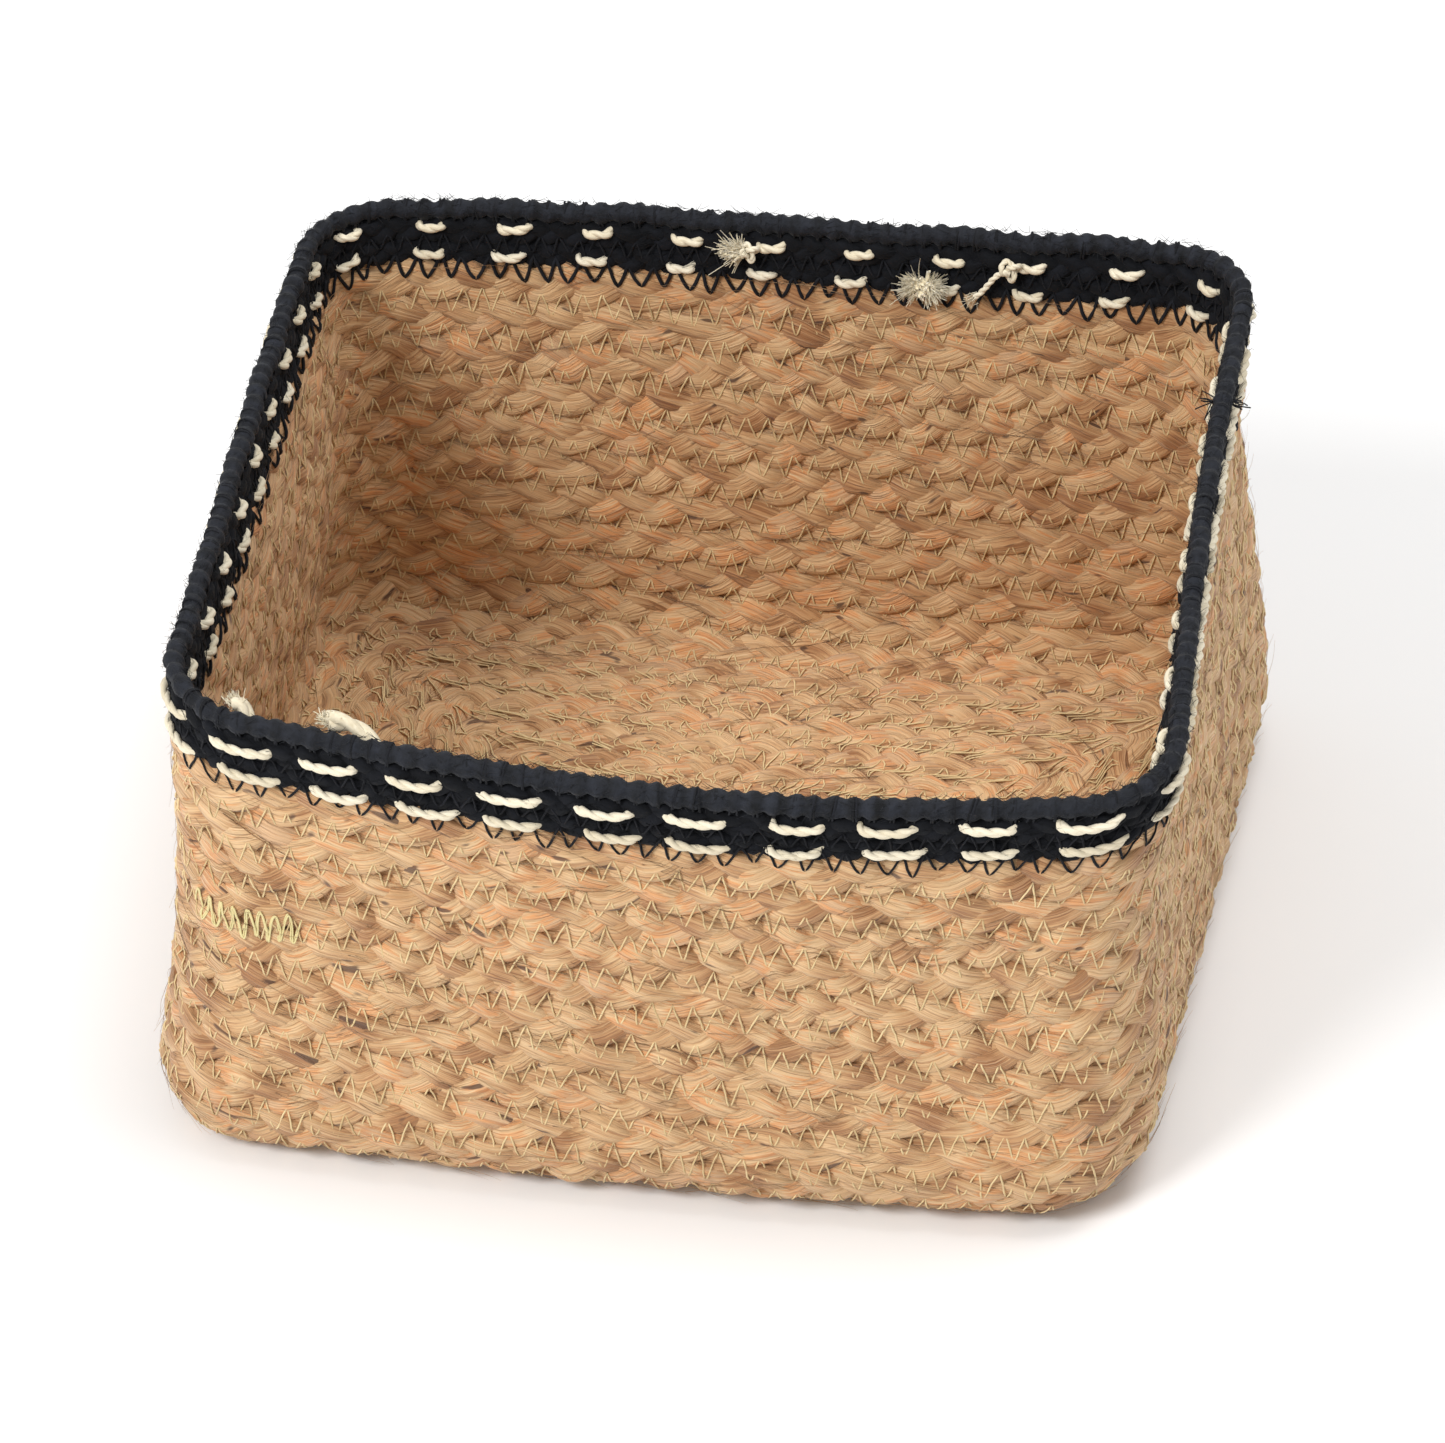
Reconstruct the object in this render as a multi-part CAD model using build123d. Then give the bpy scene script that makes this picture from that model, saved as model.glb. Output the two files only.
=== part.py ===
from build123d import *
import math
import os

# Rectangular storage basket, coiled and sewn from one long flat braid of jute.
# Millimetres, +Z up, origin at the centre of the underside, X along the longer side.
# The braid lies flat in the floor, turns up through a rounded edge and climbs the walls.
# Each turn of the braid is one closed course here, and sewing thread lies in the creases.
# The rim is two black braids and a round cord, with two rows of cream running stitches.

# ---- driving dimensions ----
rim_width = 300.0          # outside the rim, along X
rim_depth = 270.0          # outside the rim, along Y
basket_height = 162.0
rim_corner_radius = 30.0   # outside, in plan
braid_width = 13.0         # nominal: courses are counted to come nearest to it
braid_thickness = 7.0
braid_edge_radius = 2.2
turn_up_radius = 16.5      # along the middle of the braid, from floor to wall
foot_bulge = 5.0           # the foot stands out past the rim by this much
waist = 2.5                # the walls draw in by this much at mid height
floor_corner_radius = 7.0  # least outer corner radius of a floor course

black_braid_width = 7.6
black_braid_thickness = 6.4
black_edge_radius = 1.8
rim_cord_diameter = 6.0

seam_thread_diameter = 0.9
seam_clearance = 0.05
cord_clearance = 0.05      # between the rim cord and the braid under it
wrap_thickness = 0.7       # overcast thread round the rim cord
wrap_width = 0.9
wrap_spacing = 5.6
wrap_half_angle = 120.0    # each side of straight up

yarn_width = 2.5           # cream yarn
yarn_thickness = 1.7
outer_float_length = 16.5
inner_float_length = 9.0
stitch_spacing = 27.0
stitch_shift = 0.7         # the rows lie off the middles of their braids, away from each other

knot_diameter = 7.0
knot_height = 4.0
tail_length = 7.0
tail_gap = 0.5             # between a knot and its tail
tuft_width = 13.0
tuft_height = 7.0
tuft_thickness = 3.0
# Yarn ends lie between two inner floats, nearest to these places along the straight
# of the back (from the middle, positive to the left), the front and the right side.
knot_place = -58.0
tuft_place = -35.0
tied_end_place = 15.0
front_tail_places = (-108.0, -85.0)
right_tail_places = (25.0,)

# ---- worked out from the driving dimensions ----
core_x = rim_width / 2 - rim_corner_radius   # every wall corner turns about (core_x, core_y)
core_y = rim_depth / 2 - rim_corner_radius
wrap_top = rim_cord_diameter / 2 + wrap_thickness
cord_height = basket_height - wrap_top       # centre of the rim cord
band_top = cord_height - rim_cord_diameter / 2 - cord_clearance
band_bottom = band_top - 2 * black_braid_width
turn_up_courses = max(1, round(turn_up_radius * math.pi / 2 / braid_width))
turn_up_top = braid_thickness / 2 + turn_up_radius
wall_courses = round((band_bottom - turn_up_top) / braid_width)


def lean(height):
    """How far the outside of the wall stands past the rim at this height."""
    share = height / basket_height
    return foot_bulge * (1 - share) ** 2 - waist * math.sin(math.pi * share)


def wall_station(height):
    """Middle of the wall at this height as (distance from the core, height) and its normal."""
    step = 1.0
    slope = (lean(height + step) - lean(height - step)) / (2 * step)
    length = math.hypot(1, slope)
    outside = rim_corner_radius + lean(height)
    middle = Vector(outside - braid_thickness / 2, height)
    return middle, Vector(1 / length, -slope / length)


def turn_up_station(angle):
    """Middle of the rounded edge, at an angle of 0 on the floor and 90 on the wall."""
    top, _ = wall_station(turn_up_top)
    centre = top - Vector(turn_up_radius, 0)
    outward = Vector(math.sin(math.radians(angle)), -math.cos(math.radians(angle)))
    return centre + outward * turn_up_radius, outward


def course_stations():
    """The joints between natural courses, from the edge of the flat floor up to the rim."""
    stations = []
    for index in range(turn_up_courses):
        stations.append(turn_up_station(90 * index / turn_up_courses))
    for index in range(wall_courses + 1):
        share = index / wall_courses
        stations.append(wall_station(turn_up_top + (band_bottom - turn_up_top) * share))
    return stations


def band_stations():
    """The bottom, middle and top of the two black braids."""
    return [wall_station(band_bottom + black_braid_width * index) for index in range(3)]


# ---- shapes that go round the basket ----
# A section is drawn at the origin in the XZ plane: X is the distance outward from the core.

def section_plane():
    return Plane(origin=(0, 0, 0), x_dir=(1, 0, 0), z_dir=(0, -1, 0))


def along_side(section, side, middle, length):
    """A stretch of the section on one straight side, with its middle at a place along it."""
    origin_x = (core_x, 0, -core_x, 0)[side]
    origin_y = (0, core_y, 0, -core_y)[side]
    prism = extrude(section, amount=length / 2, dir=(0, 1, 0), both=True)
    return Location((origin_x, origin_y, 0), (0, 0, 90 * side)) * Pos(0, middle, 0) * prism


def around_corner(section, corner, start, sweep):
    """A stretch of the section round one corner, between two angles of its 90 degrees."""
    corner_x = core_x * (1, -1, -1, 1)[corner]
    corner_y = core_y * (1, 1, -1, -1)[corner]
    wedge = revolve(section, axis=Axis.Z, revolution_arc=sweep)
    return Location((corner_x, corner_y, 0), (0, 0, 90 * corner + start)) * wedge


def closed_ring(section):
    """The section carried all the way round the basket as one solid."""
    pieces = []
    for side in range(4):
        pieces.append(along_side(section, side, 0, side_length(side)))
        pieces.append(around_corner(section, side, 0, 90))
    return pieces[0].fuse(*pieces[1:]).solids()[0]


def side_length(side):
    return 2 * (core_y if side % 2 == 0 else core_x)


def draw(points, edge_radius=0.0):
    """A closed section through the points, with its corners rounded."""
    outline = Polygon(*[(point.X, point.Y) for point in points], align=None)
    if edge_radius:
        outline = fillet(outline.vertices(), edge_radius)
    return section_plane() * outline


def course_section(lower, upper, thickness, edge_radius):
    """The section of a braid between two joints of the wall."""
    half = thickness / 2
    points = []
    for station, side in ((lower, 1), (upper, 1), (upper, -1), (lower, -1)):
        middle, outward = station
        points.append(middle + outward * (half * side))
    return draw(points, edge_radius)


def seam_depth(corner_angle, edge_radius):
    """How deep a thread lies in the crease where two rounded edges meet."""
    thread_radius = seam_thread_diameter / 2 + seam_clearance
    edge_middle = edge_radius / math.tan(math.radians(corner_angle) / 2)
    return edge_middle - math.sqrt((edge_radius + thread_radius) ** 2 - edge_radius ** 2)


def crease_points(joint, courses):
    """Where the seam thread lies outside and inside, clear of both courses that meet here.

    Each course is given by its far joint, its thickness and its edge radius.
    """
    points = []
    for side in (1, -1):
        reaches = []
        for far, thickness, edge_radius in courses:
            corner = joint[0] + joint[1] * (thickness / 2 * side)
            along_face = far[0] + far[1] * (thickness / 2 * side) - corner
            corner_angle = (joint[1] * -side).get_angle(along_face)
            reaches.append(thickness / 2 - seam_depth(corner_angle, edge_radius))
        points.append(joint[0] + joint[1] * (max(reaches) * side))
    return points


def jute_course(far):
    return far, braid_thickness, braid_edge_radius


def black_course(far):
    return far, black_braid_thickness, black_edge_radius


def thread_section(place):
    return section_plane() * (Pos(place.X, place.Y) * Circle(seam_thread_diameter / 2))


def seam_rings(joint, *courses):
    """One seam: its thread outside and inside, as two separate solids."""
    places = crease_points(joint, courses)
    return Compound(children=[closed_ring(thread_section(place)) for place in places])


# ---- floor ----

def floor_outline(index):
    """Half sizes and corner radius of the outer edge of a floor course, 0 being outermost."""
    edge, _ = turn_up_station(0)
    half_x = core_x + edge.X - index * floor_pitch
    half_y = core_y + edge.X - index * floor_pitch
    radius = max(edge.X - index * floor_pitch, floor_corner_radius)
    return half_x, half_y, min(radius, half_y - 0.01)


floor_half_depth = core_y + turn_up_station(0)[0].X
floor_courses = round(floor_half_depth / braid_width - 0.5)
floor_pitch = floor_half_depth / (floor_courses + 0.5)


def floor_plan(index):
    half_x, half_y, radius = floor_outline(index)
    return RectangleRounded(2 * half_x, 2 * half_y, radius)


def floor_course(index):
    """One flat turn of the braid; the last one is the straight strip in the middle."""
    plan = floor_plan(index)
    if index < floor_courses:
        plan = plan - floor_plan(index + 1)
    slab = extrude(plan, amount=braid_thickness)
    level_edges = [edge for edge in slab.edges() if edge.bounding_box().size.Z < 0.001]
    return fillet(level_edges, braid_edge_radius)


def last_floor_station():
    """Where the outermost floor course meets the next one, in the manner of a wall joint."""
    edge, _ = turn_up_station(0)
    return edge - Vector(floor_pitch, 0), Vector(0, -1)


def floor_seam(index):
    """The thread in the crease above and below, where two floor courses meet."""
    half_x, half_y, radius = floor_outline(index)
    depth = seam_depth(90, braid_edge_radius)
    rings = []
    for height in (depth, braid_thickness - depth):
        path = Pos(0, 0, height) * RectangleRounded(2 * half_x, 2 * half_y, radius).wire()
        start = path @ 0
        direction = path % 0
        round_section = Plane(origin=start, z_dir=direction) * Circle(seam_thread_diameter / 2)
        rings.append(sweep(round_section, path=path))
    return Compound(children=[ring.solids()[0] for ring in rings])


# ---- rim ----

def rim_cord_section():
    middle, _ = wall_station(band_top)
    return section_plane() * (Pos(middle.X, cord_height) * Circle(rim_cord_diameter / 2))


def wrap_section():
    """One turn of overcast thread over the cord, open underneath where the braid is."""
    middle, _ = wall_station(band_top)
    cord_radius = rim_cord_diameter / 2
    outer_radius = cord_radius + wrap_thickness
    half = math.radians(wrap_half_angle)
    ring = Circle(outer_radius) - Circle(cord_radius)
    reach = 3 * outer_radius
    gap = Polygon((0, 0), (-reach * math.sin(half), reach * math.cos(half)),
                  (reach * math.sin(half), reach * math.cos(half)), align=None)
    return section_plane() * (Pos(middle.X, cord_height) * (ring - gap))


def ring_length(radius):
    """Once round the basket at this distance outside the core."""
    return 4 * (core_x + core_y) + 2 * math.pi * radius


def stretch(section, radius, middle, length):
    """A short stretch of the section round the basket, straight, curved or part of each.

    Places run from the front end of the right side, past the back, the left and the front.
    """
    pieces = []
    corner_length = math.pi / 2 * radius
    begin = middle - length / 2
    side_start = 0.0
    for side in range(8):
        span = side_length(side // 2) if side % 2 == 0 else corner_length
        for lap in (0, ring_length(radius)):
            low = max(begin, side_start - lap)
            high = min(begin + length, side_start - lap + span)
            if high - low < 0.01:
                continue
            centre = (low + high) / 2 - side_start + lap
            if side % 2 == 0:
                pieces.append(along_side(section, side // 2, centre - span / 2, high - low))
            else:
                sweep_angle = math.degrees((high - low) / radius)
                start = math.degrees(centre / radius) - sweep_angle / 2
                pieces.append(around_corner(section, side // 2, start, sweep_angle))
        side_start += span
    whole = pieces[0] if len(pieces) == 1 else pieces[0].fuse(*pieces[1:])
    return whole.solids()[0]


def repeat_round(section, radius, spacing, length, offset=0.0):
    """Equal stretches of the section, evenly spaced round the basket."""
    count = round(ring_length(radius) / spacing)
    step = ring_length(radius) / count
    return [stretch(section, radius, (index + offset) * step, length) for index in range(count)]


def yarn_section(lower, upper, side, shift):
    """Cream yarn on the outer (1) or inner (-1) face of a black braid, shifted up its face."""
    half = black_braid_thickness / 2
    low = lower[0] + lower[1] * (half * side)
    high = upper[0] + upper[1] * (half * side)
    up = (high - low).normalized()
    outward = Vector(up.Y, -up.X) * side
    middle = (low + high) * 0.5 + up * shift
    corners = [middle - up * (yarn_width / 2), middle + up * (yarn_width / 2)]
    corners += [corner + outward * yarn_thickness for corner in reversed(corners)]
    outline = Polygon(*[(corner.X, corner.Y) for corner in corners], align=None)
    far = sorted(outline.vertices(), key=lambda v: (Vector(v.X, v.Y) - middle).dot(outward))
    return section_plane() * fillet(far[-2:], yarn_thickness * 0.6)


def stitch_row(lower, upper, shift):
    """A row of running stitches: long floats outside and short ones inside between them."""
    outer = yarn_section(lower, upper, 1, shift)
    inner = yarn_section(lower, upper, -1, shift)
    radius = band_radius()
    floats = repeat_round(outer, radius, stitch_spacing, outer_float_length)
    floats += repeat_round(inner, radius, stitch_spacing, inner_float_length, 0.5)
    return Compound(children=floats)


def band_radius():
    """Distance from the core to the middle of the black band, where stitches are counted."""
    middle, _ = wall_station(band_bottom + black_braid_width)
    return middle.X


def gap_near(side, place):
    """The place on a straight side, nearest to this one, that lies between inner floats."""
    step = ring_length(band_radius()) / round(ring_length(band_radius()) / stitch_spacing)
    corner_length = math.pi / 2 * band_radius()
    side_start = sum(side_length(earlier) + corner_length for earlier in range(side))
    position = side_start + side_length(side) / 2 + place
    return round(position / step) * step - side_start - side_length(side) / 2


# ---- yarn ends inside the rim ----

def on_inner_face(side, place, lower, upper):
    """A place on the inner face of a black braid: X along the wall, Y up, Z into the basket."""
    half = black_braid_thickness / 2
    low = lower[0] - lower[1] * half
    high = upper[0] - upper[1] * half
    up = (high - low).normalized()
    middle = (low + high) * 0.5
    origin_x = (core_x, 0, -core_x, 0)[side]
    origin_y = (0, core_y, 0, -core_y)[side]
    inward = (-up.Y, 0, up.X)
    face = Plane(origin=(middle.X, 0, middle.Y), x_dir=(0, -1, 0), z_dir=inward)
    return Location((origin_x, origin_y, 0), (0, 0, 90 * side)) * Pos(0, place, 0) * face.location


def knot():
    button = Cylinder(knot_diameter / 2, knot_height, align=(Align.CENTER, Align.CENTER, Align.MIN))
    return fillet(button.edges().sort_by(Axis.Z)[-1], knot_height * 0.45)


def tail():
    """A yarn end lying flat, with its middle at the origin and its length along Y."""
    bar = Box(yarn_width, tail_length, yarn_thickness, align=(Align.CENTER, Align.CENTER, Align.MIN))
    return fillet(bar.edges().filter_by(Axis.Z), yarn_width * 0.45)


def tuft():
    pad = Box(tuft_width, tuft_height, tuft_thickness, align=(Align.CENTER, Align.CENTER, Align.MIN))
    return fillet(pad.edges().filter_by(Axis.Z), tuft_height * 0.4)


def yarn_ends(band):
    """Knots, a frayed tuft and loose tails, each lying between two floats of the stitches."""
    right, back, front = 0, 1, 3
    lower_face = (band[0], band[1])
    upper_face = (band[1], band[2])
    knot_at = on_inner_face(back, gap_near(back, knot_place), *upper_face)
    below_knot = Pos(0, -(knot_diameter + tail_length) / 2 - tail_gap, 0)
    tied_end = on_inner_face(back, gap_near(back, tied_end_place), *upper_face) * knot()
    frayed = on_inner_face(back, gap_near(back, tuft_place), *lower_face) * tuft()
    tails = []
    for side, places in ((front, front_tail_places), (right, right_tail_places)):
        for place in places:
            tails.append(on_inner_face(side, gap_near(side, place), *upper_face) * tail())
    return {
        "yarn_knot_with_tail": Compound(children=[knot_at * knot(), knot_at * below_knot * tail()]),
        "yarn_knot_tied_end": tied_end,
        "yarn_tuft_frayed": frayed,
        "yarn_tails_loose": Compound(children=tails),
    }


# ---- build every node ----

def build_nodes():
    nodes = {}
    for index in range(floor_courses):
        nodes[f"floor_course_{index + 1:02d}"] = floor_course(index)
        nodes[f"floor_seam_{index + 1:02d}"] = floor_seam(index + 1)
    nodes["floor_centre_strip"] = floor_course(floor_courses)

    stations = course_stations()
    band = band_stations()
    for index in range(len(stations) - 1):
        section = course_section(stations[index], stations[index + 1],
                                 braid_thickness, braid_edge_radius)
        nodes[f"wall_course_{index + 1:02d}"] = closed_ring(section)
    nodes["turn_up_seam"] = seam_rings(
        stations[0], jute_course(last_floor_station()), jute_course(stations[1]))
    for index in range(1, len(stations) - 1):
        nodes[f"wall_seam_{index:02d}"] = seam_rings(
            stations[index], jute_course(stations[index - 1]), jute_course(stations[index + 1]))
    for name, index in (("rim_braid_lower", 0), ("rim_braid_upper", 1)):
        section = course_section(band[index], band[index + 1],
                                 black_braid_thickness, black_edge_radius)
        nodes[name] = closed_ring(section)
    nodes["rim_braid_seam"] = seam_rings(band[1], black_course(band[0]), black_course(band[2]))
    nodes["rim_join_seam"] = seam_rings(band[0], jute_course(stations[-2]), black_course(band[1]))
    nodes["rim_edge_cord"] = closed_ring(rim_cord_section())
    wraps = repeat_round(wrap_section(), wall_station(band_top)[0].X, wrap_spacing, wrap_width)
    nodes["rim_overcast_thread"] = Compound(children=wraps)
    nodes["cream_stitches_lower"] = stitch_row(band[0], band[1], -stitch_shift)
    nodes["cream_stitches_upper"] = stitch_row(band[1], band[2], stitch_shift)
    nodes.update(yarn_ends(band))
    return nodes


if __name__ == "__main__":
    os.makedirs("parts", exist_ok=True)
    for node_name, shape in build_nodes().items():
        shape.label = node_name
        export_step(shape, f"parts/{node_name}.step")
    print("courses: floor", floor_courses, "turn-up", turn_up_courses, "wall", wall_courses)
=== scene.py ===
import math
import bpy
import numpy as np
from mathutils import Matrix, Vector


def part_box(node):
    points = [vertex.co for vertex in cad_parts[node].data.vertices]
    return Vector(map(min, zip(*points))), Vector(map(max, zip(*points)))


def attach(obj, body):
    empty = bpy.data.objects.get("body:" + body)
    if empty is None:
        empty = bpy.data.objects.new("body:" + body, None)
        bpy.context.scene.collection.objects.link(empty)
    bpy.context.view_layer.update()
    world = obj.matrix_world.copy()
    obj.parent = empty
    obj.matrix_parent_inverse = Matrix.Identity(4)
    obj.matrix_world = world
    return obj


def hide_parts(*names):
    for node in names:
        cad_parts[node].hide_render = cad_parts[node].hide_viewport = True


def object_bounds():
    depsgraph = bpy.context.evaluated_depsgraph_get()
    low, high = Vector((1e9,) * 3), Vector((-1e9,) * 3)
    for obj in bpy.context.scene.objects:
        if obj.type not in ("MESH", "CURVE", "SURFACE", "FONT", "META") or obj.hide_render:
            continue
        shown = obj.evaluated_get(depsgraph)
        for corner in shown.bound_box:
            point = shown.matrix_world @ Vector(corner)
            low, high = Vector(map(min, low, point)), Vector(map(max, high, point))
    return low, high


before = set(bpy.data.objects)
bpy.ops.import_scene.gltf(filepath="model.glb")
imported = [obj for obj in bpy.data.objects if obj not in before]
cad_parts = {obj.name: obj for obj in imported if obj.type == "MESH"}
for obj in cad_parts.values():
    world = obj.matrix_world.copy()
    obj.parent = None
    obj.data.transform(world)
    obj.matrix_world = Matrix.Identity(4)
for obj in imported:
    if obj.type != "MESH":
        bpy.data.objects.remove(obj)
cad_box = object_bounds()

# A storage basket coiled from flat jute braid. Lengths are in metres.
# Every braid, thread, cord and yarn is a bundle of tubes laid along a ring round the basket.

# ---- sizes taken from the frame ----
NODES = sorted(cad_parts)
WALL_NAMES = [name for name in NODES if name.startswith("wall_course")]
FLOOR_NAMES = [name for name in NODES if name.startswith("floor_course")]
WALL_SEAMS = [name for name in NODES if name.startswith("wall_seam")]
FLOOR_SEAMS = [name for name in NODES if name.startswith("floor_seam")]
RIM_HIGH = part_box("rim_braid_upper")[1]
CORNER_RADIUS = 0.0293                      # outside the rim, in plan
CORE_X = RIM_HIGH[0] - CORNER_RADIUS        # every wall corner turns about a point this far out
FLOOR_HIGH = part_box("floor_course_01")[1]
THICKNESS = FLOOR_HIGH[2]
BLACK_THICKNESS = 0.0064
HEIGHT = cad_box[1][2]

# ---- sizes of the fibres ----
EDGE_OVERLAP = 0.0028      # neighbouring braids press into each other by this much
BLACK_OVERLAP = EDGE_OVERLAP * 0.35
PLAIT_PERIOD = 0.045       # one strand goes across and back in this length
BLACK_PERIOD = 0.024
CORNER_SPREAD = 0.24       # flat courses widen by this share where they turn a corner
CORNER_REACH = 0.009       # over about this distance to each side of it
FLOOR_CORNER = 0.010       # corner radius of the middle line of a flat course
TURN_UP_WIDTH = 0.0132     # of the two courses on the rounded edge
STRAND_WIDTH = 0.275       # half width of a strand as a share of the braid's
STRAND_HEIGHT = 0.32       # and half its height as a share of the thickness
STRIP_STRAND_WIDTH = 0.255
JUTE_PACKING = 0.47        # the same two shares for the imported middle
BLACK_PACKING = 0.55
PACKING_HEIGHT = 0.27
SAMPLE_STEP = 0.0021
STRAND_POINTS = 20
CELL_LENGTH = 0.0022       # the heights of a braid's faces are noted in cells of this length
CELLS_ACROSS = 17
THREAD_RADIUS = 0.00031
LEG_POINTS = 6
STITCH_PERIOD = 0.0064
STITCH_LOW = -0.0040       # a zigzag bites this far below its crease
STITCH_HIGH = 0.0050       # and this far above it
YARN_PLY_RADIUS = 0.00096
YARN_SPACING = 0.027
FLOAT_LENGTH = 0.0172
INNER_FLOAT_LENGTH = 0.0088
YARN_DRIFT = 0.009         # hand-sewn stitches gain or lose this much on the way round
ROW_SWAY = 0.0010          # and wander up and down by this much
ROW_SHIFTS = (-0.0004, 0.0016)   # how far each row lies above its braid's middle
BEAD_SPACING = 0.0056
CORD_POINTS = 18

# ---- how the soft basket has settled ----
FRONT_BOW = 0.012          # the front of the rim bows outwards
FRONT_SAG = 0.0065         # and hangs lower in the middle
BACK_BOW = 0.0055
LEFT_PULL = 0.0016         # the left and right of the rim lean in
RIGHT_PULL = 0.0026
RIGHT_BULGE = 0.0024       # the right wall swells low down and draws in below the rim
FOOT_BOW = 0.0055          # the front of the foot bows out too
LEFT_WAIST = 0.0035
# Where the corners of the rim and of the foot have moved: +1 is the right and the back.
RIM_MOVES = {(-1, -1): (0.0018, 0.0015, 0.0020), (1, -1): (-0.0030, 0.0003, -0.0028),
             (1, 1): (-0.0052, 0.0012, 0.0036), (-1, 1): (0.0006, -0.0022, -0.0010)}
FOOT_MOVES = {(-1, -1): (-0.0015, 0, 0), (1, -1): (-0.0176, 0, 0), (1, 1): (-0.0002, 0, 0)}


def settle(points):
    """Bends every piece alike, so that the rim isn't a perfect rectangle."""
    moved = np.array(points, dtype=float)
    x, y, z = moved[..., 0].copy(), moved[..., 1].copy(), moved[..., 2].copy()
    rise = np.clip(z / HEIGHT, 0, 1)
    high = rise ** 1.4
    side_x = np.clip(x / RIM_HIGH[0], -1, 1)
    side_y = np.clip(y / RIM_HIGH[1], -1, 1)
    front = np.clip(-side_y, 0, 1) ** 2
    back = np.clip(side_y, 0, 1) ** 2
    left = np.clip(-side_x, 0, 1) ** 2
    right = np.clip(side_x, 0, 1) ** 2
    across = 1 - side_x ** 2
    deep = 1 - side_y ** 2
    moved[..., 1] -= front * across * (FRONT_BOW * high + FOOT_BOW * (1 - high))
    moved[..., 2] -= front * across * FRONT_SAG * high
    moved[..., 1] += back * across * BACK_BOW * high
    moved[..., 0] += (left * LEFT_PULL - right * RIGHT_PULL) * deep * high
    moved[..., 0] += left * LEFT_WAIST * np.sin(math.pi * rise)
    moved[..., 0] += right * RIGHT_BULGE * np.sin(2 * math.pi * rise)
    for moves, weight in ((RIM_MOVES, high), (FOOT_MOVES, 1 - rise)):
        for (corner_x, corner_y), move in moves.items():
            share = (1 + corner_x * side_x) * (1 + corner_y * side_y) / 4 * weight
            for axis in range(3):
                moved[..., axis] += move[axis] * share
    wave = np.sin(x * 31 + 0.6) * np.cos(y * 27 - 0.4)
    moved[..., 1] += 0.0010 * wave * high * (front + back)
    moved[..., 0] += 0.0010 * np.cos(z * 55 + y * 19) * high * (left + right)
    moved[..., 2] += 0.0009 * np.sin(y * 26 + 1.0) * high * (left - right)
    moved[..., 2] = np.maximum(moved[..., 2], 0.0)
    return moved


# ---- smooth random curves ----

def wander(positions, length, waves, seed):
    """A smooth random curve that closes on itself, roughly from -1 to 1."""
    chance = np.random.default_rng(seed)
    total = np.zeros_like(positions)
    for _ in range(5):
        turns = chance.integers(max(1, waves // 2), waves + 1)
        total += np.sin(2 * math.pi * (turns * positions / length + chance.random()))
    return total / 2.6


# ---- rings round the basket ----

class Ring:
    """A rounded rectangle at one height, whose braid face is tilted: 0 lies flat, 90 stands."""

    def __init__(self, half_x, half_y, radius, height, tilt):
        self.sides = [2 * (half_y - radius), 2 * (half_x - radius)] * 2
        self.core = np.array([half_x - radius, half_y - radius])
        self.radius = radius
        self.height = height
        self.tilt = math.radians(tilt)
        spans = []
        for side in self.sides:
            spans += [side, math.pi / 2 * radius]
        self.starts = np.concatenate([[0], np.cumsum(spans)])
        self.length = self.starts[-1]

    def stations(self, positions):
        """Lengths along the ring as segment numbers, which neighbouring rings share."""
        return np.interp(positions % self.length, self.starts, np.arange(9))

    def positions(self, stations):
        return np.interp(stations, np.arange(9), self.starts)

    def nearness(self, positions, reach):
        """How near each place is to the middle of a corner: 1 in it, 0 well away."""
        middles = (self.starts[1:8:2] + self.starts[2:9:2]) / 2
        apart = np.abs(positions[:, None] - middles[None, :])
        return np.exp(-(apart.min(1) / reach) ** 2)

    def plan(self, stations):
        """Point and outward direction in plan at each station."""
        stations = np.clip(stations, 0, 7.99999)
        segment = stations.astype(int)
        share = stations - segment
        quarter = segment // 2
        corner = segment % 2
        angle = math.pi / 2 * (quarter + share * corner)
        outward = np.stack([np.cos(angle), np.sin(angle)], -1)
        along = np.where(corner == 1, 1.0, 2 * share - 1)
        sign_x = np.array([1, -1, -1, 1])[quarter]
        sign_y = np.array([1, 1, -1, -1])[quarter]
        middle_x = np.where(quarter % 2 == 0, sign_x, sign_x * along) * self.core[0]
        middle_y = np.where(quarter % 2 == 0, sign_y * along, sign_y) * self.core[1]
        start = np.stack([middle_x, middle_y], -1)
        return start + outward * self.radius, outward

    def place(self, stations, lateral, depth):
        """Points on the braid: lateral runs up the wall, depth out of its outer face."""
        point, outward = self.plan(stations)
        cosine, sine = math.cos(self.tilt), math.sin(self.tilt)
        reach = lateral * cosine + depth * sine
        rise = lateral * sine - depth * cosine
        flat = point + outward * reach[..., None]
        return np.concatenate([flat, (self.height + rise)[..., None]], -1)

    def normal(self, stations, face):
        """Direction out of the outer (1) or inner (-1) face."""
        _, outward = self.plan(stations)
        flat = outward * (math.sin(self.tilt) * face)
        rise = np.full(flat.shape[:-1] + (1,), -math.cos(self.tilt) * face)
        return np.concatenate([flat, rise], -1)


def wall_ring(name, thickness):
    """The middle line of a standing course, from its CAD node's box."""
    low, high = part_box(name)
    half_x = high[0] - thickness / 2
    half_y = high[1] - thickness / 2
    return Ring(half_x, half_y, half_x - CORE_X, (low[2] + high[2]) / 2, 90)


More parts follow.
